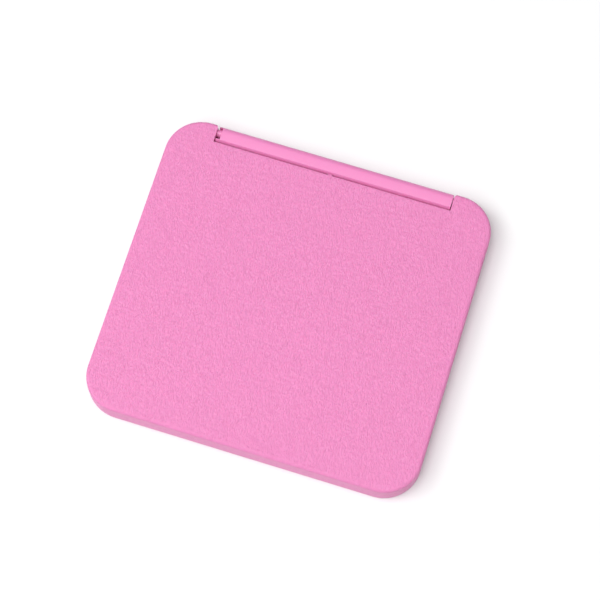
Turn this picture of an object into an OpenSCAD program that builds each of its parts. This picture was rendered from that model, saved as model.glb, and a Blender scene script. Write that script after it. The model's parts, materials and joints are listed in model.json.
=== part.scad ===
// Slim rounded-rectangular powder compact: a hinged two-part case with a mirror in the lid,
// and a pan of pressed powder and a flat puff in the base.
// The origin is the middle of the underside. +X runs along the hinge, +Y towards it, +Z up.

/* [Case] */
// Width of the case, along the hinge
case_w = 88; // [84:0.5:100]
// Depth of the case, front to back
case_d = 81.4; // [78:0.2:92]
// Height of the closed case
case_h = 7.5; // [7.2:0.1:9]
// Height of the lid shell
lid_h = 3.5; // [3.4:0.05:3.8]
// Radius of the case's corners in plan
corner_r = 9.7; // [9:0.1:11]
// Rounding of the lid's upper edge
top_round = 0.9; // [0.6:0.05:1]
// Rounding of the base's lower edge
bottom_round = 0.6; // [0.3:0.05:0.8]
// Thickness of the side walls
wall_t = 1.6; // [1.4:0.1:1.8]
// Thickness of the base's floor
floor_t = 0.9; // [0.7:0.05:1]
// Thickness of the lid's top
lid_skin = 1; // [0.8:0.05:1.1]
// Gap between the closed lid and the base
parting_gap = 0.1; // [0.08:0.01:0.12]

/* [Hinge] */
// Width of the notch in the lid's back edge
notch_w = 64.4; // [56:0.2:66]
// How far the notch stands to the left of the middle
notch_shift = 0.2; // [-0.6:0.1:0.6]
// Depth of the notch, measured from the back wall
notch_depth = 4.9; // [4.7:0.1:5.1]
// Diameter of the hinge barrel
barrel_d = 3.5; // [3.3:0.05:3.5]
// Gap between the barrel's front and the notch
front_gap = 0.4; // [0.36:0.01:0.5]
// Gap between the barrel and the left ear
left_gap = 0.3; // [0.2:0.05:0.6]
// Gap between the barrel and the right ear
right_gap = 0.25; // [0.2:0.05:0.6]
// Length of the open pocket at the barrel's left end, which shows the pin
pocket_l = 1.05; // [0.6:0.05:2]
// Diameter of the hinge pins
pin_d = 2; // [1.6:0.1:2.1]
// Length of each hinge pin
pin_l = 12; // [8:0.5:16]
// Length of each pin inside the lid's ear
pin_reach = 2.6; // [2:0.1:3]
// Radial clearance of a pin in its ear socket
pin_clearance = 0.05; // [0.02:0.01:0.08]

/* [Mirror] */
// Thickness of the mirror glass
mirror_t = 1.1; // [1:0.05:1.2]
// Width of the bezel at the sides, from the case wall to its window
bezel_side = 5.2; // [4.5:0.1:6]
// Width of the bezel's front strip, from the case wall to its window
bezel_front = 7.7; // [7.5:0.1:9]
// Width of the bezel's back strip, from the case wall to its window
bezel_back = 2.8; // [2.6:0.1:3]
// How far the glass reaches under the bezel
glass_tuck = 1.2; // [0.8:0.1:1.2]

/* [Powder] */
// Width of the powder pan
pan_w = 73.6; // [60:0.2:75]
// Depth of the powder pan, front to back
pan_d = 41.6; // [30:0.2:42]
// Height of the powder pan
pan_h = 2.6; // [2.2:0.05:2.7]
// Corner radius of the powder pan
pan_r = 4; // [2:0.5:8]
// Thickness of the pan's sheet metal
pan_t = 0.35; // [0.25:0.05:0.5]
// How far the powder lies below the pan's rim
powder_drop = 0.3; // [0.1:0.05:0.8]

/* [Puff] */
// Width of the puff
puff_w = 70; // [60:0.5:72]
// Depth of the puff, front to back
puff_d = 17; // [14:0.5:17]
// Thickness of the puff
puff_t = 3.3; // [2.6:0.1:3.4]
// Width of the ribbon across the puff
ribbon_w = 12; // [11:0.5:16]

/* [Closure and label] */
// Diameter of the closing magnets
magnet_d = 4; // [3:0.1:4]
// Thickness of the closing magnets
magnet_t = 1.1; // [0.9:0.05:1.1]
// Distance between the two magnets of a pair
magnet_spacing = 66; // [40:1:66]
// Width of the blank label under the base
label_w = 52; // [30:1:60]
// Depth of the blank label under the base
label_d = 24; // [15:1:40]

/* [Hidden] */
$fn = 72;

// Heights
base_h = case_h - lid_h - parting_gap;
lid_z = base_h + parting_gap;
lid_inner_z = case_h - lid_skin;

// Hinge
ear_r = lid_h / 2;
axis_y = case_d / 2 - ear_r;
axis_z = lid_z + ear_r;
notch_y = case_d / 2 - notch_depth;
notch_wall_t = 0.9;
notch_left = -notch_w / 2 - notch_shift;
notch_right = notch_w / 2 - notch_shift;
barrel_left = notch_left + left_gap;
barrel_right = notch_right - right_gap;
pin_r = pin_d / 2;
socket_r = pin_r + pin_clearance;
socket_end_gap = 0.4;
pin_tip_left = notch_left - pin_reach;
pin_tip_right = notch_right + pin_reach;
pin_root_left = pin_tip_left + pin_l;
pin_root_right = pin_tip_right - pin_l;
web_back_inset = 0.15;
front_r = notch_depth - ear_r - front_gap;
crown_r = 30;
pocket_front = 2.1;
pocket_back = 1.25;
pocket_depth = 1.4;
vestige_x = -0.5;
vestige_w = 1.7;
vestige_h = 0.34;
vestige_r = (pow(vestige_w / 2, 2) + pow(vestige_h, 2)) / (2 * vestige_h);
vestige_low = lid_h - 1;
vestige_high = 0.1;
ear_corner_r = 1.1;

// Groove in the base that the ears' upper back edges swing through
ear_swing_r = (ear_r - top_round) * sqrt(2) + top_round;
groove_r = ear_swing_r + 0.1;
groove_stop = axis_y - 0.5;
groove_end = case_w / 2 - corner_r + 3;

// Hollow of each half, behind which the hinge stands
hollow_front = -case_d / 2 + wall_t;
hollow_back = notch_y - notch_wall_t;
hollow_w = case_w - 2 * wall_t;
hollow_d = hollow_back - hollow_front;
hollow_y = (hollow_back + hollow_front) / 2;
hollow_r = corner_r - wall_t;
insert_fit = 0.15;
insert_w = hollow_w - 2 * insert_fit;
insert_d = hollow_d - 2 * insert_fit;
insert_r = hollow_r - insert_fit;
skirt_t = 0.9;
film_t = 0.1;

// Deck
deck_top = base_h - 0.1;
deck_t = 0.7;
deck_under = deck_top - deck_t;
strip_w = 7.3;
pan_fit = 0.2;
pan_z = floor_t + film_t;
pan_y = hollow_front + strip_w + pan_fit + pan_d / 2;
pan_film_margin = 8;
bridge_w = 2.6;
well_fit = 1;
well_floor = 0.4;
well_w = puff_w + 2 * well_fit;
well_d = puff_d + 2 * well_fit;
well_r = 4;
well_y = pan_y + pan_d / 2 + pan_fit + bridge_w + well_d / 2;

// Puff
puff_z = floor_t + well_floor + 0.02;
puff_r = well_r - well_fit;
ribbon_lift = 0.02;
ribbon_t = 0.15;

// Mirror
glass_z = lid_inner_z - film_t - mirror_t;
bezel_z = lid_z + 0.2;
window_w = hollow_w - 2 * bezel_side + 2 * insert_fit;
window_front = hollow_front + bezel_front;
window_back = hollow_back - bezel_back;
window_d = window_back - window_front;
window_y = (window_back + window_front) / 2;
window_r = 3;
glass_w = window_w + 2 * glass_tuck;
glass_d = window_d + 2 * glass_tuck;
glass_r = window_r + glass_tuck;

// Magnets
magnet_x = magnet_spacing / 2;
magnet_y = hollow_front + strip_w / 2 + 0.08;
boss_d = magnet_d + 1;

// Label
label_t = 0.1;
label_gap = 0.02;
label_fit = 0.2;
label_r = 2;

// Overlap that lets a cut run clear of a face
cut = 1;

// ---- Shared shapes ----

// Outline of a rectangle with round corners, centred
module rounded_rect(w, d, r) {
    square([w - 2 * r, d], center = true);
    square([w, d - 2 * r], center = true);
    for (sx = [-1, 1], sy = [-1, 1])
        translate([sx * (w / 2 - r), sy * (d / 2 - r)])
            circle(r);
}

// Half of a slab's upright section, its outer upper edge rounded
module edge_profile(half_w, h, round_r) {
    square([half_w - round_r, h]);
    square([half_w, h - round_r]);
    translate([half_w - round_r, h - round_r])
        circle(round_r);
}

// A slab's whole upright section
module slab_profile(half_w, h, round_r) {
    edge_profile(half_w, h, round_r);
    mirror([1, 0])
        edge_profile(half_w, h, round_r);
}

// Case half with round corners in plan and a rounded upper edge
module case_slab(h, round_r) {
    rotate([90, 0, 90])
        linear_extrude(case_w - 2 * corner_r, center = true)
            slab_profile(case_d / 2, h, round_r);
    rotate([90, 0, 0])
        linear_extrude(case_d - 2 * corner_r, center = true)
            slab_profile(case_w / 2, h, round_r);
    for (sx = [-1, 1], sy = [-1, 1])
        translate([sx * (case_w / 2 - corner_r), sy * (case_d / 2 - corner_r), 0])
            rotate_extrude()
                edge_profile(corner_r, h, round_r);
}

// Plate with round corners, from z up to z + h
module plate(w, d, r, y, z, h) {
    translate([0, y, z])
        linear_extrude(h)
            rounded_rect(w, d, r);
}

// Hollow of a case half, open at one face
module case_hollow(z, h) {
    plate(hollow_w, hollow_d, hollow_r, hollow_y, z, h);
}

// Rod along X from x0 to x1 on the hinge axis
module axis_rod(r, x0, x1) {
    translate([x0, axis_y, axis_z])
        rotate([0, 90, 0])
            cylinder(r = r, h = x1 - x0);
}

// Upright disc of a closing magnet, or the boss around it
module magnet_disc(side, d, z, h) {
    translate([side * magnet_x, magnet_y, z])
        cylinder(d = d, h = h);
}

// ---- Base ----

// Swing groove under one ear, from x0 to x1; its front wall stops the open lid
module ear_groove(x0, x1) {
    intersection() {
        axis_rod(groove_r, x0, x1);
        translate([x0, groove_stop, 0])
            cube([x1 - x0, case_d, case_h]);
    }
}

// Pocket in the barrel's left end, open above and at that end
module pocket_cut() {
    translate([barrel_left - cut, axis_y - pocket_front, axis_z - pocket_depth])
        cube([pocket_l + cut, pocket_front + pocket_back, pocket_depth + barrel_d]);
}

// Web that carries the barrel on the base's back edge
module barrel_web() {
    translate([barrel_left, axis_y - barrel_d / 4, base_h - cut])
        cube([
            barrel_right - barrel_left,
            case_d / 2 - web_back_inset - axis_y + barrel_d / 4,
            axis_z - base_h + cut
        ]);
}

// Front of the barrel, which fills the notch: a gently crowned top, and a nose inside the lid's swing
module barrel_front() {
    front_l = barrel_right - barrel_left;
    translate([barrel_left, axis_y - front_r, base_h - cut])
        cube([front_l, front_r, axis_z - base_h + cut]);
    intersection() {
        axis_rod(front_r, barrel_left, barrel_right);
        translate([0, 0, barrel_d / 2 - crown_r])
            axis_rod(crown_r, barrel_left - cut, barrel_right + cut);
        translate([barrel_left - cut, axis_y - front_r, axis_z - cut])
            cube([front_l + 2 * cut, front_r, barrel_d]);
    }
}

module base_shell() {
    color("hotpink")
    difference() {
        union() {
            difference() {
                translate([0, 0, base_h])
                    mirror([0, 0, 1])
                        case_slab(base_h, bottom_round);
                case_hollow(floor_t, base_h);
            }
            barrel_web();
            barrel_front();
            axis_rod(barrel_d / 2, barrel_left, barrel_right);
            for (side = [-1, 1])
                magnet_disc(side, boss_d, floor_t / 2, deck_under - floor_t / 2);
        }
        pocket_cut();
        ear_groove(-groove_end, notch_left + left_gap / 2);
        ear_groove(notch_right - right_gap / 2, groove_end);
        axis_rod(pin_r, barrel_left - cut, pin_root_left);
        axis_rod(pin_r, pin_root_right, barrel_right + cut);
        for (side = [-1, 1])
            magnet_disc(side, magnet_d, deck_under - magnet_t, magnet_t + cut);
        plate(label_w + 2 * label_fit, label_d + 2 * label_fit, label_r + label_fit, 0,
            -cut, cut + label_gap + label_t);
    }
}

module hinge_pin_left() {
    color("palevioletred")
        axis_rod(pin_r, pin_tip_left, pin_root_left);
}

module hinge_pin_right() {
    color("palevioletred")
        axis_rod(pin_r, pin_root_right, pin_tip_right);
}

module base_magnet_left() {
    color("silver")
        magnet_disc(-1, magnet_d, deck_under - magnet_t, magnet_t);
}

module base_magnet_right() {
    color("silver")
        magnet_disc(1, magnet_d, deck_under - magnet_t, magnet_t);
}

module bottom_label() {
    color("white")
        plate(label_w, label_d, label_r, 0, label_gap, label_t);
}

// ---- Deck, powder and puff ----

module pan_window(grow, z, h) {
    plate(pan_w + 2 * (pan_fit + grow), pan_d + 2 * (pan_fit + grow),
        pan_r + pan_fit + grow, pan_y, z, h);
}

module puff_well(grow, z, h) {
    plate(well_w + 2 * grow, well_d + 2 * grow, well_r + grow, well_y, z, h);
}

module inner_deck() {
    color("lightpink")
    difference() {
        plate(insert_w, insert_d, insert_r, hollow_y, floor_t, deck_top - floor_t);
        difference() {
            plate(insert_w - 2 * skirt_t, insert_d - 2 * skirt_t, insert_r - skirt_t,
                hollow_y, 0, deck_under);
            pan_window(skirt_t, -cut, 2 * base_h);
            puff_well(skirt_t, -cut, 2 * base_h);
        }
        pan_window(0, -cut, deck_top + 2 * cut);
        puff_well(0, floor_t + well_floor, deck_top);
    }
}

module pan_adhesive() {
    color("ivory")
        plate(pan_w - pan_film_margin, pan_d - pan_film_margin, pan_r / 2, pan_y,
            floor_t, film_t);
}

module powder_pan() {
    color("gainsboro")
    difference() {
        plate(pan_w, pan_d, pan_r, pan_y, pan_z, pan_h);
        plate(pan_w - 2 * pan_t, pan_d - 2 * pan_t, pan_r - pan_t, pan_y,
            pan_z + pan_t, pan_h);
    }
}

module pressed_powder() {
    color("bisque")
        plate(pan_w - 2 * pan_t, pan_d - 2 * pan_t, pan_r - pan_t, pan_y,
            pan_z + pan_t, pan_h - pan_t - powder_drop);
}

module puff() {
    color("mistyrose")
        plate(puff_w, puff_d, puff_r, well_y, puff_z, puff_t);
}

module puff_ribbon() {
    color("deeppink")
        translate([-ribbon_w / 2, well_y - puff_d / 2, puff_z + puff_t + ribbon_lift])
            cube([ribbon_w, puff_d, ribbon_t]);
}

// ---- Lid ----

// Rounds an ear's outer corner beside the notch, side -1 at x = the notch's left edge or 1 at its right
module ear_corner_cut(side, x) {
    translate([x, case_d / 2, lid_z - cut])
        linear_extrude(lid_h + 2 * cut)
            difference() {
                translate([side > 0 ? -cut : -ear_corner_r, -ear_corner_r])
                    square([ear_corner_r + cut, ear_corner_r + cut]);
                translate([side * ear_corner_r, -ear_corner_r])
                    circle(ear_corner_r);
            }
}

// Clears the space that the ears' lower back corners would sweep
module ear_sweep_cut() {
    difference() {
        translate([-case_w, axis_y, lid_z - cut])
            cube([2 * case_w, case_d, axis_z - lid_z + cut]);
        axis_rod(ear_r, -case_w, case_w);
    }
}

// Small moulding mark near the middle of the notch
module notch_vestige() {
    intersection() {
        translate([vestige_x, notch_y + vestige_h - vestige_r, lid_z + vestige_low])
            cylinder(r = vestige_r, h = lid_h - vestige_low - vestige_high);
        translate([vestige_x - vestige_w, notch_y - vestige_h, lid_z])
            cube([2 * vestige_w, 2 * vestige_h, lid_h]);
    }
}

module lid_shell() {
    color("hotpink")
    difference() {
        union() {
            difference() {
                translate([0, 0, lid_z])
                    case_slab(lid_h, top_round);
                case_hollow(lid_z - cut, lid_h - lid_skin + cut);
                translate([notch_left, notch_y, lid_z - cut])
                    cube([notch_w, notch_depth + cut, lid_h + 2 * cut]);
                ear_sweep_cut();
                ear_corner_cut(-1, notch_left);
                ear_corner_cut(1, notch_right);
            }
            notch_vestige();
            for (side = [-1, 1])
                magnet_disc(side, boss_d, glass_z, case_h - lid_skin / 2 - glass_z);
        }
        axis_rod(socket_r, pin_tip_left - socket_end_gap, notch_left + cut);
        axis_rod(socket_r, notch_right - cut, pin_tip_right + socket_end_gap);
        for (side = [-1, 1])
            magnet_disc(side, magnet_d, glass_z - cut, magnet_t + cut);
    }
}

module mirror_adhesive() {
    color("ivory")
        plate(glass_w - 4, glass_d - 4, glass_r, window_y, lid_inner_z - film_t, film_t);
}

module mirror_glass() {
    color("lightsteelblue")
        plate(glass_w, glass_d, glass_r, window_y, glass_z, mirror_t);
}

module mirror_bezel() {
    color("lightpink")
    difference() {
        plate(insert_w, insert_d, insert_r, hollow_y, bezel_z, lid_inner_z - bezel_z);
        plate(insert_w - 2 * skirt_t, insert_d - 2 * skirt_t, insert_r - skirt_t,
            hollow_y, glass_z, case_h);
        plate(window_w, window_d, window_r, window_y, lid_z - cut, case_h);
    }
}

module lid_magnet_left() {
    color("silver")
        magnet_disc(-1, magnet_d, glass_z, magnet_t);
}

module lid_magnet_right() {
    color("silver")
        magnet_disc(1, magnet_d, glass_z, magnet_t);
}

base_shell();
hinge_pin_left();
hinge_pin_right();
inner_deck();
base_magnet_left();
base_magnet_right();
pan_adhesive();
powder_pan();
pressed_powder();
puff();
puff_ribbon();
bottom_label();
lid_shell();
mirror_adhesive();
mirror_glass();
mirror_bezel();
lid_magnet_left();
lid_magnet_right();
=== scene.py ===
"""A slim pink powder compact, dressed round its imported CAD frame. Every length is in metres."""

import json
import math

import bmesh
import bpy
import numpy as np
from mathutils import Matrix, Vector
from mathutils.bvhtree import BVHTree
from mathutils.geometry import delaunay_2d_cdt

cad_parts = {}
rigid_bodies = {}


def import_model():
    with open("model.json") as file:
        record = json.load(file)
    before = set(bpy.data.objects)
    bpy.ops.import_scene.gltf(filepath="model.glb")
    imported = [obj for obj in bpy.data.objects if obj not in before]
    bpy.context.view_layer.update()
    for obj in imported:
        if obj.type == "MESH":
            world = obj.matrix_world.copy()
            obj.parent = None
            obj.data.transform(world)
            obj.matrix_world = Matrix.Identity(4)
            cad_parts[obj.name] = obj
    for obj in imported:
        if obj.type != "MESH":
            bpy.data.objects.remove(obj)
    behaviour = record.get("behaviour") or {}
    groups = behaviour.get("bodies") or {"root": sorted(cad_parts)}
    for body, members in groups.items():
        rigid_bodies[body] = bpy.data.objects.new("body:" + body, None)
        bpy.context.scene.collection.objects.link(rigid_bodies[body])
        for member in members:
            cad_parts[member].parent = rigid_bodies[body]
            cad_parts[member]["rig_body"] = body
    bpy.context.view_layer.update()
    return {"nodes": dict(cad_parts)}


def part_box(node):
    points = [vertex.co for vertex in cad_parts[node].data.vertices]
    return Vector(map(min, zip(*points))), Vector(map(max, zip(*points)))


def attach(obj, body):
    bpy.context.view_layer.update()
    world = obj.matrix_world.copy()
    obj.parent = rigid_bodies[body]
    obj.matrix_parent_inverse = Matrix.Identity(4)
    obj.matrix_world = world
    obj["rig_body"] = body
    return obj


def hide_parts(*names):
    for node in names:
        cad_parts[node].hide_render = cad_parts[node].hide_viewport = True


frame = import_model()

MM = 0.001
WELD = 0.002 * MM  # points closer than this are one point
CASE_EDGE = 0.14 * MM  # rounding of the lid's and the base's edges
INSERT_EDGE = 0.22 * MM  # rounding of the deck's and the bezel's edges


# ---- Camera and studio ----


def direction(azimuth, elevation):
    """Unit vector from the object towards a viewer or a lamp, both angles in degrees."""
    a, e = math.radians(azimuth), math.radians(elevation)
    return Vector((math.sin(a) * math.cos(e), -math.cos(a) * math.cos(e), math.sin(e)))


def aim(obj, target, back, distance):
    """Places obj at a distance from target along back, looking at it."""
    obj.location = target + back * distance
    obj.rotation_euler = (-back).to_track_quat("-Z", "Y").to_euler()
    bpy.context.scene.collection.objects.link(obj)


def add_camera():
    """Long lens, nearly overhead, with the case turned a little to the left."""
    centre_of_view = Vector((1.785, 2.233, 3.75)) * MM
    distance = 0.5404
    data = bpy.data.cameras.new("camera")
    data.sensor_width = 36
    data.lens = 126.14
    data.clip_start, data.clip_end = 0.01, 20
    camera = bpy.data.objects.new("camera", data)
    aim(camera, centre_of_view, direction(17.355, 72.91), distance)
    bpy.context.scene.camera = camera


def add_lamp(name, azimuth, elevation, distance, size, power):
    """Square soft box that faces the object."""
    data = bpy.data.lights.new(name, "AREA")
    data.shape = "SQUARE"
    data.size = size
    data.energy = power
    aim(bpy.data.objects.new(name, data), Vector(), direction(azimuth, elevation), distance)


def add_sky():
    """White surroundings, brighter overhead and towards one soft spot, which the mirror shows."""
    spot_reach = 38  # degrees from the spot's middle to where it has faded out
    world = bpy.data.worlds.new("studio")
    world.use_nodes = True
    tree = world.node_tree
    view = add(tree, "ShaderNodeTexCoord").outputs["Generated"]
    up = add(tree, "ShaderNodeSeparateXYZ", {}, {0: view}).outputs["Z"]
    spot = add(tree, "ShaderNodeVectorMath", {"operation": "DOT_PRODUCT"},
               {0: view, 1: direction(14, 32)[:]}).outputs["Value"]
    glow = remap(tree, spot, math.cos(math.radians(spot_reach)), 1.0, 0.0, 0.4, "SMOOTHSTEP")
    sky = tree.nodes["Background"]
    sky.inputs["Color"].default_value = (1, 1, 1, 1)
    tree.links.new(math_node(tree, "ADD", remap(tree, up, 0.0, 1.0, 0.09, 0.29), glow),
                   sky.inputs["Strength"])
    bpy.context.scene.world = world


def add_studio():
    """Pale floor, white surroundings and soft lamps."""
    reach = 3.0
    level = -0.05 * MM  # just under the case, so that the two don't share a plane
    mesh = bpy.data.meshes.new("floor")
    corners = [(x * reach, y * reach, level) for x, y in ((-1, -1), (1, -1), (1, 1), (-1, 1))]
    mesh.from_pydata(corners, [], [(0, 1, 2, 3)])
    floor = bpy.data.objects.new("floor", mesh)
    bpy.context.scene.collection.objects.link(floor)
    floor.data.materials.append(floor_paper())
    add_sky()
    add_lamp("side_key", -76, 53, 1.1, 0.5, 4.3)
    add_lamp("front_key", -26, 60, 1.1, 0.7, 4.3)
    add_lamp("overhead", 0, 86, 1.3, 0.8, 8.7)
    bpy.context.scene.view_settings.view_transform = "Standard"


# ---- Material building ----


def add(tree, kind, props=(), sockets=()):
    """New node with its properties and its inputs, each a value or another node's output."""
    node = tree.nodes.new(kind)
    for name, value in dict(props).items():
        setattr(node, name, value)
    for name, value in dict(sockets).items():
        if isinstance(value, bpy.types.NodeSocket):
            tree.links.new(value, node.inputs[name])
        else:
            node.inputs[name].default_value = value
    return node


def new_material(name, **fixed):
    """Material with a Principled shader, its fixed values set on the shader's own sockets."""
    material = bpy.data.materials.new(name)
    material.use_nodes = True
    tree = material.node_tree
    shader = tree.nodes["Principled BSDF"]
    for key, value in fixed.items():
        shader.inputs[key.replace("_", " ")].default_value = value
    place = add(tree, "ShaderNodeTexCoord").outputs["Object"]
    return material, tree, shader, place


def scaled(tree, place, x, y=None, z=None):
    """Coordinates multiplied along each axis."""
    factor = (x, x if y is None else y, x if z is None else z)
    return add(tree, "ShaderNodeVectorMath", {"operation": "MULTIPLY"},
               {0: place, 1: factor}).outputs[0]


def noise(tree, place, scale, detail=2.0, roughness=0.5):
    """Soft noise from 0 to 1, scale in repeats per metre."""
    return add(tree, "ShaderNodeTexNoise", {},
               {"Vector": place, "Scale": scale, "Detail": detail, "Roughness": roughness}
               ).outputs[0]


def math_node(tree, operation, a, b=0.0):
    """Result of one operation on two values. ABSOLUTE takes only the first."""
    return add(tree, "ShaderNodeMath", {"operation": operation}, {0: a, 1: b}).outputs[0]


def remap(tree, value, low, high, to_low, to_high, kind="LINEAR"):
    """value, moved from one range to another and held inside it."""
    return add(tree, "ShaderNodeMapRange", {"interpolation_type": kind},
               {0: value, 1: low, 2: high, 3: to_low, 4: to_high}).outputs[0]


def blend_colours(tree, factor, first, second):
    """Mix of two colours."""
    node = tree.nodes.new("ShaderNodeMix")
    node.data_type = "RGBA"
    tree.links.new(factor, node.inputs[0])
    for socket, value in ((node.inputs[6], first), (node.inputs[7], second)):
        if isinstance(value, bpy.types.NodeSocket):
            tree.links.new(value, socket)
        else:
            socket.default_value = (*value, 1)
    return node.outputs[2]


def bump(tree, height, distance, normal=None):
    """Bump of that height in metres, laid over another one if it is given."""
    sockets = {"Height": height, "Distance": distance, "Strength": 1.0}
    if normal is not None:
        sockets["Normal"] = normal
    return add(tree, "ShaderNodeBump", {}, sockets).outputs["Normal"]


def grain_field(tree, place):
    """Fine pebble grain: 1 on the pebbles and 0 in the creases between them.

    The same field serves the lid's shader and its relief.
    """
    drawn_out = scaled(tree, place, 3.0, 0.8, 1.0)
    wander = noise(tree, drawn_out, 780.0, 1.0)
    ridge = math_node(tree, "ABSOLUTE", math_node(tree, "SUBTRACT", wander, 0.5))
    worm = remap(tree, ridge, 0.0, 0.13, 1.0, 0.0, "SMOOTHSTEP")
    pebble = remap(tree, noise(tree, drawn_out, 1900.0, 1.0, 0.5), 0.28, 0.72, 0.0, 1.0)
    return math_node(tree, "ADD", math_node(tree, "MULTIPLY", worm, 0.5),
                     math_node(tree, "MULTIPLY", pebble, 0.5))


# ---- Materials ----


def floor_paper():
    """Pale backdrop paper with a faint fibre."""
    material, tree, shader, place = new_material("floor_paper", Roughness=0.8)
    shade = noise(tree, place, 9.0, 3.0)
    colour = blend_colours(tree, shade, (0.835, 0.835, 0.835), (0.855, 0.855, 0.855))
    tree.links.new(colour, shader.inputs["Base Color"])
    return material


PINK = (0.76, 0.235, 0.485)


def tinted(colour, factor):
    """Colour made lighter or darker."""
    return tuple(min(1.0, c * factor) for c in colour)


def pink_plastic(name, grain, roughness, colour=PINK):
    """Moulded pink plastic. grain is the depth of the pebble grain's bump, or 0 for none; with a
    grain, the creases on the lid's top also get painted shade, a slightly darker pink.
    """
    fade_from, fade_to = 1.1 * MM, 0.35 * MM  # depths below the lid's top where the grain fades in
    material, tree, shader, place = new_material(
        name, Specular_IOR_Level=0.45, Subsurface_Weight=0.15, Subsurface_Scale=0.35 * MM,
        Subsurface_Radius=(1.0, 0.35, 0.6))
    cloud = noise(tree, place, 28.0, 3.0)
    tone = blend_colours(tree, cloud, tinted(colour, 0.985), tinted(colour, 1.02))
    speck = remap(tree, noise(tree, place, 2600.0, 2.0), 0.35, 0.65, 0.0, 1.0)
    rough = remap(tree, speck, 0.0, 1.0, roughness - 0.04, roughness + 0.04)
    normal = bump(tree, speck, 0.0016 * MM)
    if grain:
        field = grain_field(tree, place)
        up = add(tree, "ShaderNodeSeparateXYZ", {}, {0: place}).outputs["Z"]
        lid_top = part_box("lid_shell")[1].z
        fade = remap(tree, up, lid_top - fade_from, lid_top - fade_to, 0.0, 1.0)
        normal = bump(tree, math_node(tree, "MULTIPLY", field, fade), grain, normal)
        # painted shade: the grain's creases on the lid's top are painted 3.5 % darker; below the top,
        # where fade is 0, they are not
        painted_crease_shade = remap(tree, field, 0.15, 0.75, 0.0, 1.0)
        shade = math_node(tree, "MAXIMUM", painted_crease_shade, math_node(tree, "SUBTRACT", 1.0, fade))
        tone = blend_colours(tree, shade, tinted(colour, 0.965), tone)
    tree.links.new(tone, shader.inputs["Base Color"])
    tree.links.new(rough, shader.inputs["Roughness"])
    tree.links.new(normal, shader.inputs["Normal"])
    return material


def metal(name, colour, roughness, brushed=0.0):
    """Metal with fine scratches along X where it is brushed."""
    material, tree, shader, place = new_material(name, Metallic=1.0)
    lines = noise(tree, scaled(tree, place, 1.0, 30.0, 30.0), 90.0, 4.0)
    tree.links.new(blend_colours(tree, lines, tinted(colour, 0.94), colour),
                   shader.inputs["Base Color"])
    tree.links.new(remap(tree, lines, 0.3, 0.7, roughness * 0.8, roughness * 1.2),
                   shader.inputs["Roughness"])
    if brushed:
        tree.links.new(bump(tree, lines, brushed), shader.inputs["Normal"])
    return material


def mirror_silver():
    """Front of the mirror: silvered glass with a trace of tint."""
    material, tree, shader, place = new_material("mirror_silver", Metallic=1.0, Coat_Weight=1.0,
                                                 Coat_Roughness=0.01)
    haze = noise(tree, place, 35.0, 2.0)
    tree.links.new(blend_colours(tree, haze, (0.9, 0.915, 0.91), (0.92, 0.93, 0.925)),
                   shader.inputs["Base Color"])
    tree.links.new(remap(tree, haze, 0.3, 0.7, 0.012, 0.03), shader.inputs["Roughness"])
    return material


def pressed_powder_material():
    """Matt rose-beige powder with fine mineral speckle."""
    material, tree, shader, place = new_material("powder_rose_beige", Specular_IOR_Level=0.2,
                                                 Sheen_Weight=0.15)
    cloud = noise(tree, place, 60.0, 3.0)
    tone = blend_colours(tree, cloud, (0.6, 0.345, 0.24), (0.65, 0.385, 0.275))
    speck = noise(tree, place, 5200.0, 3.0)
    tone = blend_colours(tree, remap(tree, speck, 0.62, 0.75, 0.0, 0.6), tone, (0.8, 0.6, 0.48))
    tree.links.new(tone, shader.inputs["Base Color"])
    tree.links.new(remap(tree, speck, 0.3, 0.7, 0.75, 0.95), shader.inputs["Roughness"])
    tree.links.new(bump(tree, speck, 0.012 * MM), shader.inputs["Normal"])
    return material


def velour():
    """Short flocked pile in pale rose."""
    material, tree, shader, place = new_material("puff_velour", Sheen_Weight=0.6,
                                                 Sheen_Roughness=0.4, Specular_IOR_Level=0.15)
    pile = noise(tree, place, 2600.0, 4.0, 0.75)
    nap = noise(tree, scaled(tree, place, 1.0, 2.2, 1.0), 160.0, 3.0)
    tone = blend_colours(tree, nap, (0.7, 0.43, 0.41), (0.8, 0.53, 0.5))
    tone = blend_colours(tree, remap(tree, pile, 0.35, 0.65, 0.0, 0.45), tone, (0.56, 0.3, 0.3))
    tree.links.new(tone, shader.inputs["Base Color"])
    tree.links.new(remap(tree, pile, 0.3, 0.7, 0.85, 1.0), shader.inputs["Roughness"])
    tree.links.new(bump(tree, pile, 0.12 * MM), shader.inputs["Normal"])
    return material


def satin():
    """Satin ribbon: fine ribs across it and a soft shine."""
    material, tree, shader, place = new_material("ribbon_satin", Sheen_Weight=0.4,
                                                 Anisotropic=0.5)
    ribs = add(tree, "ShaderNodeTexWave", {"bands_direction": "X"},
               {"Vector": place, "Scale": 900.0, "Distortion": 0.6, "Detail": 1.0}).outputs[1]
    cloud = noise(tree, place, 300.0, 2.0)
    tone = blend_colours(tree, cloud, (0.56, 0.1, 0.27), (0.64, 0.13, 0.33))
    tree.links.new(tone, shader.inputs["Base Color"])
    tree.links.new(remap(tree, ribs, 0.0, 1.0, 0.3, 0.42), shader.inputs["Roughness"])
    tree.links.new(bump(tree, ribs, 0.01 * MM), shader.inputs["Normal"])
    return material


def label_paper():
    """Blank satin label stock."""
    material, tree, shader, place = new_material("label_paper", Specular_IOR_Level=0.35)
    fibre = noise(tree, scaled(tree, place, 1.0, 2.0, 1.0), 1500.0, 4.0)
    tree.links.new(blend_colours(tree, fibre, (0.83, 0.81, 0.815), (0.88, 0.865, 0.87)),
                   shader.inputs["Base Color"])
    tree.links.new(remap(tree, fibre, 0.3, 0.7, 0.45, 0.6), shader.inputs["Roughness"])
    tree.links.new(bump(tree, fibre, 0.003 * MM), shader.inputs["Normal"])
    return material


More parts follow.
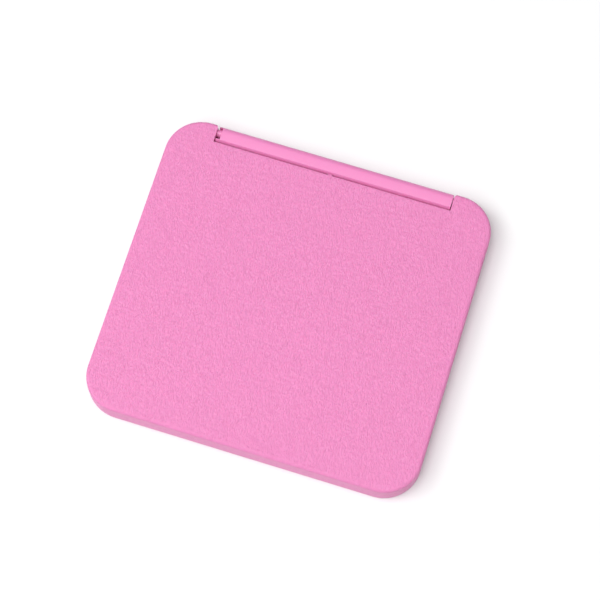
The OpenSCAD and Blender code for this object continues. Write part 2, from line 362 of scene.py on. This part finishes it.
def adhesive_film():
    """Milky double-sided film."""
    material, tree, shader, place = new_material("adhesive_film")
    cloud = noise(tree, place, 400.0, 3.0)
    tree.links.new(blend_colours(tree, cloud, (0.78, 0.76, 0.68), (0.85, 0.83, 0.77)),
                   shader.inputs["Base Color"])
    tree.links.new(remap(tree, cloud, 0.3, 0.7, 0.45, 0.65), shader.inputs["Roughness"])
    return material


# ---- Mesh tools ----


def cleaned(node):
    """A CAD node's mesh as welded flat faces, in a new bmesh."""
    bm = bmesh.new()
    bm.from_mesh(frame["nodes"][node].data)
    bmesh.ops.remove_doubles(bm, verts=bm.verts, dist=WELD)
    bmesh.ops.dissolve_limit(bm, angle_limit=math.radians(0.4), verts=bm.verts, edges=bm.edges)
    return bm


def object_from(bm, name, materials):
    """New object with a bmesh's points and faces. The bmesh is freed."""
    bm.verts.index_update()
    points = [v.co[:] for v in bm.verts]
    faces = [[v.index for v in f.verts] for f in bm.faces]
    bm.free()
    return object_of(points, faces, name, materials)


def object_of(points, faces, name, materials):
    """New smooth-shaded object from points and faces."""
    mesh = bpy.data.meshes.new(name)
    mesh.from_pydata(points, [], faces)
    mesh.validate()
    for material in materials:
        mesh.materials.append(material)
    mesh.shade_smooth()
    obj = bpy.data.objects.new(name, mesh)
    bpy.context.scene.collection.objects.link(obj)
    return obj


def soften(obj, width, angle=35, segments=3):
    """Rounds every sharp edge and keeps the flat faces flat in the shading."""
    bevel = obj.modifiers.new("soft_edges", "BEVEL")
    bevel.width = width
    bevel.segments = segments
    bevel.limit_method = "ANGLE"
    bevel.angle_limit = math.radians(angle)
    bevel.miter_outer = "MITER_ARC"
    weighted = obj.modifiers.new("flat_faces", "WEIGHTED_NORMAL")
    weighted.keep_sharp = True


def evaluated_mesh(obj):
    """Mesh of obj with its modifiers applied."""
    graph = bpy.context.evaluated_depsgraph_get()
    return bpy.data.meshes.new_from_object(obj.evaluated_get(graph))


def stand_for(obj, node):
    """obj takes a CAD node's place, on the same body."""
    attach(obj, frame["nodes"][node]["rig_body"])
    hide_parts(node)


def distance_to(points, loop_points, edges):
    """Distance of each 2D point from a set of outline edges."""
    best = np.full(len(points), 1e9)
    for a, b in edges:
        start, along = loop_points[a], loop_points[b] - loop_points[a]
        share = np.clip(((points - start) @ along) / max(along @ along, 1e-18), 0, 1)
        gap = points - start - share[:, None] * along
        best = np.minimum(best, np.sqrt((gap ** 2).sum(1)))
    return best


def inside(points, loop_points, edges):
    """True for each 2D point that lies inside the outline."""
    crossings = np.zeros(len(points), int)
    for a, b in edges:
        (x0, y0), (x1, y1) = loop_points[a], loop_points[b]
        if y0 != y1:
            level = (points[:, 1] < max(y0, y1)) & (points[:, 1] >= min(y0, y1))
            at = x0 + (points[:, 1] - y0) * (x1 - x0) / (y1 - y0)
            crossings += level & (points[:, 0] < at)
    return crossings % 2 == 1


def filled(loop_points, edges, spacing):
    """Even triangles inside an outline.

    Returns the points, the triangles and, for each point, the input points that it came from.
    """
    edge_gap = 0.6 * spacing  # keeps the grid's points clear of the outline
    low, high = loop_points.min(0), loop_points.max(0)
    rows = np.arange(low[1], high[1], spacing * math.sqrt(0.75))
    columns = np.arange(low[0], high[0], spacing)
    grid = np.array([(x + (i % 2) * spacing / 2, y) for i, y in enumerate(rows) for x in columns])
    grid = grid[inside(grid, loop_points, edges)]
    grid = grid[distance_to(grid, loop_points, edges) > edge_gap]
    every = np.concatenate([loop_points, grid])
    found = delaunay_2d_cdt([Vector(p) for p in every / MM], edges, [], 1, 1e-5)
    points = np.array([p[:] for p in found[0]]) * MM
    return points, [list(f) for f in found[2]], found[3]


# ---- Case ----


def top_outline(bm, height):
    """Removes the flat faces at that height.

    Returns the vertices of the outline left, and its edges as pairs of their indices.
    """
    flat = [f for f in bm.faces
            if f.normal.z > 0.9999 and all(abs(v.co.z - height) < WELD for v in f.verts)]
    rim = {}
    for face in flat:
        for edge in face.edges:
            rim[edge] = rim.get(edge, 0) + 1
    outline = [edge for edge, count in rim.items() if count == 1]
    ends = sorted({v for edge in outline for v in edge.verts}, key=lambda v: v.index)
    number = {v: i for i, v in enumerate(ends)}
    pairs = [(number[e.verts[0]], number[e.verts[1]]) for e in outline]
    inner = [e for e, count in rim.items() if count > 1]
    bmesh.ops.delete(bm, geom=flat, context="FACES_ONLY")
    bmesh.ops.delete(bm, geom=inner, context="EDGES")
    return ends, pairs


def refilled_top(bm, height, spacing):
    """Puts even triangles in place of the flat faces at that height.

    Returns their vertices and each one's distance from the outline.
    """
    ends, pairs = top_outline(bm, height)
    loop_points = np.array([v.co.xy[:] for v in ends])
    points, triangles, origins = filled(loop_points, pairs, spacing)
    corner = []
    for point, sources in zip(points, origins):
        known = [i for i in sources if i < len(ends)]
        corner.append(ends[known[0]] if known else bm.verts.new((*point, height)))
    for triangle in triangles:
        bm.faces.new([corner[i] for i in triangle])
    return corner, distance_to(points, loop_points, pairs)


def grain_modifier(obj, depth):
    """Raises the pebbles of the grain where the mesh's grain attribute allows it."""
    group = bpy.data.node_groups.new("pebble_grain", "GeometryNodeTree")
    group.interface.new_socket("Geometry", in_out="INPUT", socket_type="NodeSocketGeometry")
    group.interface.new_socket("Geometry", in_out="OUTPUT", socket_type="NodeSocketGeometry")
    entry, leave = group.nodes.new("NodeGroupInput"), group.nodes.new("NodeGroupOutput")
    place = add(group, "GeometryNodeInputPosition").outputs[0]
    share = add(group, "GeometryNodeInputNamedAttribute", {"data_type": "FLOAT"},
                {"Name": "grain"}).outputs[0]
    height = math_node(group, "MULTIPLY", grain_field(group, place), share)
    height = math_node(group, "MULTIPLY", height, depth)
    offset = add(group, "ShaderNodeCombineXYZ", {}, {2: height}).outputs[0]
    moved = add(group, "GeometryNodeSetPosition", {}, {"Geometry": entry.outputs[0],
                                                        "Offset": offset})
    group.links.new(moved.outputs[0], leave.inputs[0])
    obj.modifiers.new("pebble_grain", "NODES").node_group = group


def lid_case():
    """Lid shell with soft edges and a grained top whose pebbles are real relief."""
    spacing = 0.32 * MM
    rim_fade = 0.8 * MM  # the relief grows to its full height over this width
    rough = object_from(cleaned("lid_shell"), "lid_rough", [])
    soften(rough, CASE_EDGE)
    bm = bmesh.new()
    bm.from_mesh(evaluated_mesh(rough))
    bpy.data.objects.remove(rough)
    tops, gaps = refilled_top(bm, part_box("lid_shell")[1].z, spacing)
    bm.verts.index_update()
    share = np.zeros(len(bm.verts), np.float32)
    for vert, gap in zip(tops, gaps):
        share[vert.index] = min(gap / rim_fade, 1)
    obj = object_from(bm, "lid_case", [pink_plastic("lid_pink", 0.11 * MM, 0.5)])
    obj.data.attributes.new("grain", "FLOAT", "POINT").data.foreach_set("value", share)
    grain_modifier(obj, 0.06 * MM)
    stand_for(obj, "lid_shell")


def softened_copy(node, name, material, width):
    """Copy of a CAD node with rounded edges."""
    obj = object_from(cleaned(node), name, [material])
    soften(obj, width)
    stand_for(obj, node)


# ---- Powder ----


def smooth_step(values, low, high):
    """Rises softly from 0 at low to 1 at high."""
    t = np.clip((values - low) / (high - low), 0, 1)
    return t * t * (3 - 2 * t)


def powder_relief(x, y, half, gap):
    """Height of the pressed face over its CAD level.

    It has a low crown, a round rim, a frame groove and, inside the frame, the pressing cloth's weave.
    """
    frame_inset = 3.2 * MM
    thread = 0.75 * MM
    crown = 0.12 * MM * (1 - ((x / half.x) ** 2 + (y / half.y) ** 2) / 2)
    rim = -0.28 * MM * np.clip(1 - gap / (0.7 * MM), 0, 1) ** 2
    groove = -0.26 * MM * np.exp(-((gap - frame_inset) / (0.32 * MM)) ** 2)
    weave = 0.06 * MM * np.sin(math.pi * x / thread) * np.sin(math.pi * y / thread)
    return crown + rim + groove + weave * smooth_step(gap, frame_inset + 0.4 * MM, frame_inset + MM)


def powder_cake():
    """Pressed powder with a cloth imprint inside a plain frame line."""
    bm = cleaned("pressed_powder")
    low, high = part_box("pressed_powder")
    middle, half = (low + high) / 2, (high - low) / 2
    spacing = 0.3 * MM
    tops, gaps = refilled_top(bm, high.z, spacing)
    spots = np.array([v.co.xy[:] for v in tops]) - np.array(middle.xy[:])
    for vert, rise in zip(tops, powder_relief(spots[:, 0], spots[:, 1], half, gaps)):
        vert.co.z += rise
    stand_for(object_from(bm, "powder_cake", [pressed_powder_material()]),
              "pressed_powder")


# ---- Puff ----

SIM_SCALE = 10  # cloth settles better on a larger model
PUFF_CORNER = 3 * MM
SEAM_LEVEL = 0.42  # the puff's seam, as a share of its height
SWELL_FRAMES = 20
RIBBON_THICKNESS = 0.13 * MM
RIBBON_GAP = 0.09 * MM  # between the ribbon's underside and the velour's highest point under it


def pad_blank(half, corner, thickness, voxel):
    """Flat slab with round corners and edges, remeshed evenly. half is half its width and depth."""
    bm = bmesh.new()
    steps = 8
    ring = []
    for turn, (sx, sy) in enumerate(((1, 1), (-1, 1), (-1, -1), (1, -1))):
        for i in range(steps + 1):
            a = math.pi / 2 * (turn + i / steps)
            ring.append(bm.verts.new((sx * (half.x - corner) + corner * math.cos(a),
                                      sy * (half.y - corner) + corner * math.sin(a),
                                      -thickness / 2)))
    floor = bm.faces.new(ring)
    risen = bmesh.ops.extrude_face_region(bm, geom=[floor])["geom"]
    for vert in (g for g in risen if isinstance(g, bmesh.types.BMVert)):
        vert.co.z += thickness
    bmesh.ops.recalc_face_normals(bm, faces=bm.faces)
    slab = object_from(bm, "pad_slab", [])
    soften(slab, thickness * 0.42, 50, 4)
    remesh = slab.modifiers.new("even", "REMESH")
    remesh.mode = "VOXEL"
    remesh.voxel_size = voxel
    blank = bpy.data.objects.new("pad_blank", evaluated_mesh(slab))
    bpy.context.scene.collection.objects.link(blank)
    bpy.data.objects.remove(slab)
    return blank


def coordinates(mesh):
    """All the points of a mesh."""
    flat = np.empty(len(mesh.vertices) * 3, np.float32)
    mesh.vertices.foreach_get("co", flat)
    return flat.reshape(-1, 3).astype(float)


def inflated(blank, pressure, cap):
    """Points of a blank after cloth pressure has swollen it, each moved by cap at most.
    """
    start = coordinates(blank.data)
    cloth = blank.modifiers.new("swell", "CLOTH")
    cloth.settings.use_pressure = True
    cloth.settings.uniform_pressure_force = pressure
    cloth.settings.effector_weights.gravity = 0
    cloth.point_cache.frame_start, cloth.point_cache.frame_end = 1, SWELL_FRAMES
    scene = bpy.context.scene
    for step in range(1, SWELL_FRAMES + 1):
        scene.frame_set(step)
    moved = coordinates(evaluated_mesh(blank)) - start
    scene.frame_set(1)
    blank.modifiers.remove(cloth)
    reach = np.linalg.norm(moved, axis=1, keepdims=True)
    return start + moved * np.minimum(1, cap / np.maximum(reach, 1e-9))


def pad_shape(points, low, high):
    """Fits swollen points into the CAD box, flat below, drawn in at the waist and round the seam."""
    near, far = points.min(0), points.max(0)
    place = (points - near) / (far - near)
    across = 2 * place[:, :2] - 1
    size = np.array((high - low)[:])
    waist = 1 - 0.035 * (1 - across[:, 0] ** 2) - 0.03 * np.exp(-(across[:, 0] / 0.17) ** 2)
    across[:, 1] *= waist
    level = np.clip((place[:, 2] - 0.08) / 0.92, 0, 1)
    crest = 1 - 0.2 * np.abs(across[:, 1]) ** 2.2 - 0.16 * np.abs(across[:, 0]) ** 4
    sag = 0.09 * np.exp(-(across[:, 0] / 0.15) ** 2)
    level *= np.where(level > SEAM_LEVEL, crest - sag, 1)
    pinch = 0.3 * MM * np.exp(-((level - SEAM_LEVEL) / 0.09) ** 2)
    outer = np.maximum(smooth_step(np.abs(across[:, 0]), 0.93, 0.985),
                       smooth_step(np.abs(across[:, 1]), 0.7, 0.93))
    half = size[:2] / 2 - 0.05 * MM
    plan = across * (half - (pinch * outer)[:, None])
    middle = np.array(((low + high) / 2)[:2])
    return np.column_stack((plan + middle, low.z + level * size[2]))


def puff_pad():
    """Flat velour puff: foam swollen in its cover, with a seam round its edge."""
    low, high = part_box("puff")
    half = (high - low) / 2 * SIM_SCALE
    voxel = 0.5 * MM * SIM_SCALE
    most_swelling = 0.5 * MM * SIM_SCALE
    blank = pad_blank(half * 0.98, PUFF_CORNER * SIM_SCALE, 1.5 * half.z, voxel)
    shape = pad_shape(inflated(blank, 4.0, most_swelling), low, high)
    faces = [list(f.vertices) for f in blank.data.polygons]
    bpy.data.objects.remove(blank)
    obj = object_of([tuple(p) for p in shape], faces, "puff_pad", [velour()])
    smooth = obj.modifiers.new("rounder", "SUBSURF")
    smooth.levels = smooth.render_levels = 1
    stand_for(obj, "puff")
    return obj


def over_pad(pad, centre, half_width, rise):
    """Path in Y and Z over the pad's top, from seam to seam.

    It is clear of the pad by rise, across the whole width.
    """
    graph = bpy.context.evaluated_depsgraph_get()
    tree = BVHTree.FromObject(pad, graph)
    path = []
    for degrees in np.linspace(1, 179, 357):
        a = math.radians(degrees)
        ray = Vector((0, -math.cos(a), math.sin(a)))
        hits = [tree.ray_cast(centre + Vector((x, 0, 0)), ray)[3]
                for x in np.linspace(-half_width, half_width, 7)]
        path.append(centre + ray * (max(h for h in hits if h) + rise))
    return np.array([p[1:] for p in path])


def even_path(path, count):
    """The same path with evenly spaced points, and its length."""
    run = np.concatenate(([0], np.cumsum(np.linalg.norm(np.diff(path, axis=0), axis=1))))
    at = np.linspace(0, run[-1], count)
    return np.column_stack([np.interp(at, run, path[:, k]) for k in (0, 1)]), run[-1]


def smoothed(path):
    """The path with its small wobbles averaged out and its two ends kept."""
    window = 25
    weights = np.hanning(window) / np.hanning(window).sum()
    for k in (0, 1):
        longer = np.pad(path[:, k], window // 2, mode="reflect", reflect_type="odd")
        path[:, k] = np.convolve(longer, weights, mode="valid")
    return path


def strip_points(path, length, middle_x, half_width, columns):
    """Ribbed rows of points along a path, with a slightly raised selvedge on both sides."""
    rib_height, rib_pitch, selvedge_height = 0.012 * MM, 0.45 * MM, 0.02 * MM
    along = np.gradient(path, axis=0)
    along /= np.linalg.norm(along, axis=1, keepdims=True)
    up = np.column_stack((-along[:, 1], along[:, 0]))
    run = np.linspace(0, length, len(path))
    ribs = rib_height * np.cos(run * math.tau / rib_pitch)
    points = []
    for spot, out, rib in zip(path, up, ribs):
        for share in np.linspace(-1, 1, columns):
            selvedge = smooth_step(abs(share), 0.93, 1.0)
            lift = rib * (1 - selvedge) + selvedge_height * selvedge
            points.append((middle_x + share * half_width, *(spot + out * lift)))
    return points


def grid_faces(rows, columns):
    """Quads between the points of a grid that is listed row by row."""
    starts = [j * columns + i for j in range(rows - 1) for i in range(columns - 1)]
    return [[k, k + 1, k + 1 + columns, k + columns] for k in starts]


def ribbon_strip(pad):
    """Finger ribbon, sewn into the puff's seam at both ends and drawn over its top."""
    rows, columns = 260, 33
    low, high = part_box("puff_ribbon")
    pad_low, pad_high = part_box("puff")
    half_width = (high.x - low.x) / 2
    centre = Vector(((low.x + high.x) / 2, (low.y + high.y) / 2,
                     pad_low.z + SEAM_LEVEL * (pad_high.z - pad_low.z)))
    path, length = even_path(over_pad(pad, centre, half_width, RIBBON_GAP), rows)
    points = strip_points(smoothed(path), length, centre.x, half_width, columns)
    obj = object_of(points, grid_faces(rows, columns), "ribbon_strip", [satin()])
    solid = obj.modifiers.new("cloth_thickness", "SOLIDIFY")
    solid.thickness = RIBBON_THICKNESS
    solid.offset = 1
    stand_for(obj, "puff_ribbon")


def dress(node, material):
    """Gives a CAD node its finish."""
    mesh = frame["nodes"][node].data
    mesh.materials.clear()
    mesh.materials.append(material)


add_camera()
add_studio()
lid_case()
softened_copy("base_shell", "base_case", pink_plastic("base_pink", 0, 0.46), CASE_EDGE)
for pin in ("hinge_pin_left", "hinge_pin_right"):
    # painted shade: the pins are painted 10 % darker than the case's pink, for the shade they sit in
    # within the hinge's gaps
    softened_copy(pin, pin + "_rounded",
                  pink_plastic("pin_pink_painted_shade", 0, 0.35, tinted(PINK, 0.9)), 0.2 * MM)
insert_pink = pink_plastic("insert_pink", 0, 0.22)
softened_copy("inner_deck", "deck_moulding", insert_pink, INSERT_EDGE)
softened_copy("mirror_bezel", "bezel_moulding", insert_pink, INSERT_EDGE)
pan_tin = metal("pan_tin", (0.8, 0.8, 0.81), 0.3, 0.004 * MM)
softened_copy("powder_pan", "pan_pressing", pan_tin, 0.08 * MM)
softened_copy("mirror_glass", "mirror_plate", mirror_silver(), 0.1 * MM)
nickel = metal("magnet_nickel", (0.62, 0.61, 0.6), 0.2)
film = adhesive_film()
for side in ("left", "right"):
    dress("base_magnet_" + side, nickel)
    dress("lid_magnet_" + side, nickel)
dress("pan_adhesive", film)
dress("mirror_adhesive", film)
powder_cake()
ribbon_strip(puff_pad())
softened_copy("bottom_label", "base_label", label_paper(), 0.03 * MM)
